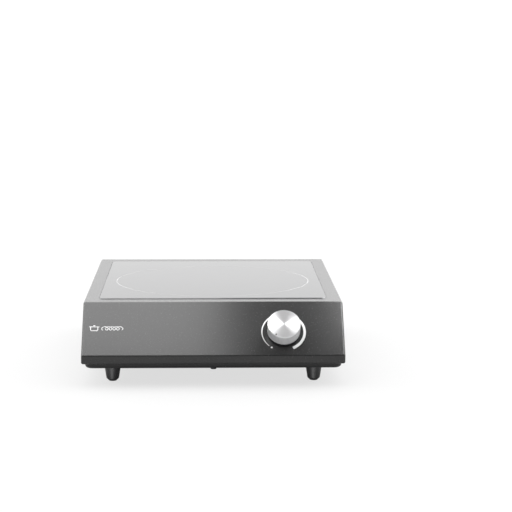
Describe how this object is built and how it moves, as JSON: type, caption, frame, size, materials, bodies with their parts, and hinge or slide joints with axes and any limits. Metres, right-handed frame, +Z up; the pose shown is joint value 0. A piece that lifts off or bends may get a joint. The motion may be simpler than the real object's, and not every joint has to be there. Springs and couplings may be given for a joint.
{
  "type": "table-top induction hob",
  "caption": "Low countertop induction hob: folded steel casing with a sloping front panel and power knob, glass ceramic top, rubber feet, fan and coil inside.",
  "frame": {"origin": "on the top of the glass, above the centre of the casing's footprint; the table top is 100 mm below it", "axes": "+X to the user's right, +Y to the back, +Z up; the sloping panel with the knob faces -Y"},
  "size_m": [0.3385, 0.5996, 0.1],
  "materials": {
    "casing_paint": "satin dark grey powder coat",
    "glass_ceramic": "polished black, printed ring",
    "silicone": "matt",
    "foot_rubber": "matt black",
    "zinc_steel": "zinc plated",
    "spring_steel": "bright wire",
    "knob_aluminium": "spun face, knurled wall",
    "black_nylon": "moulded",
    "bronze": "sintered",
    "magnet": "bonded ferrite",
    "copper": "enamelled wire",
    "carrier_plastic": "glass-filled",
    "plate_aluminium": "mill finish",
    "felt": "ceramic fibre",
    "sensor_ceramic": "white",
    "board_green": "solder mask",
    "capacitor_case": "moulded box",
    "can_sleeve": "shrink sleeve",
    "brass": "machined",
    "lead_sleeve": "silicone sleeve",
    "cable_grey": "grey sheath",
    "shaft_steel": "turned",
    "cord_rubber": "matt black",
    "plug_nickel": "nickel plated"
  },
  "bodies": {
    "hob": {"air_guide": "black_nylon", "auxiliary_transformer": "capacitor_case", "base_tray": "casing_paint", "board_posts": "zinc_steel", "board_screws": "zinc_steel", "bridge_rectifier": "black_nylon", "bushing_nut": "zinc_steel", "cable_tie": "black_nylon", "coil_carrier": "carrier_plastic", "coil_leads": "lead_sleeve", "coil_plate": "plate_aluminium", "coil_post_screws": "zinc_steel", "coil_posts": "zinc_steel", "coil_springs": "spring_steel", "coil_terminals": "brass", "coil_winding": "copper", "control_board": "board_green", "control_cable": "cable_grey", "control_posts": "zinc_steel", "control_screws": "zinc_steel", "cord_grip": "black_nylon", "electrolytic_capacitors": "can_sleeve", "fan_bearing": "bronze", "fan_frame": "black_nylon", "fan_nuts": "zinc_steel", "fan_screws": "zinc_steel", "fan_stator": "copper", "ferrite_bars": "magnet", "film_capacitors": "capacitor_case", "foot_front_left": "foot_rubber", "foot_front_right": "foot_rubber", "foot_nuts": "zinc_steel", "foot_rear_left": "foot_rubber", "foot_rear_right": "foot_rubber", "foot_studs": "zinc_steel", "glass_plate": "glass_ceramic", "glass_seal": "silicone", "heat_sink": "plate_aluminium", "insulation_felt": "felt", "mains_choke": "copper", "mains_leads": "lead_sleeve", "plug_body": "cord_rubber", "plug_pins": "plug_nickel", "potentiometer_body": "black_nylon", "power_board": "board_green", "power_cord": "cord_rubber", "power_transistors": "black_nylon", "sensor_spring": "spring_steel", "temperature_sensor": "sensor_ceramic", "terminal_block": "carrier_plastic", "transistor_screws": "zinc_steel", "tray_screws": "zinc_steel", "tray_standoffs": "zinc_steel", "upper_casing": "casing_paint"},
    "power_knob": {"knob_cap": "knob_aluminium", "knob_insert": "black_nylon", "potentiometer_shaft": "shaft_steel"},
    "fan_wheel": {"fan_rotor": "black_nylon", "fan_magnet": "magnet", "fan_shaft": "zinc_steel"}
  },
  "joints": [
    {"name": "knob_turn", "type": "hinge", "parent": "hob", "child": "power_knob", "pos_m": [0.0876, -0.18921, -0.03416], "axis": [0, 0.7336, -0.6795], "range_deg": [0, 300]},
    {"name": "fan_spin", "type": "hinge", "parent": "hob", "child": "fan_wheel", "pos_m": [-0.082, -0.096, -0.0752], "axis": [0, 0, 1], "continuous": true}
  ]
}
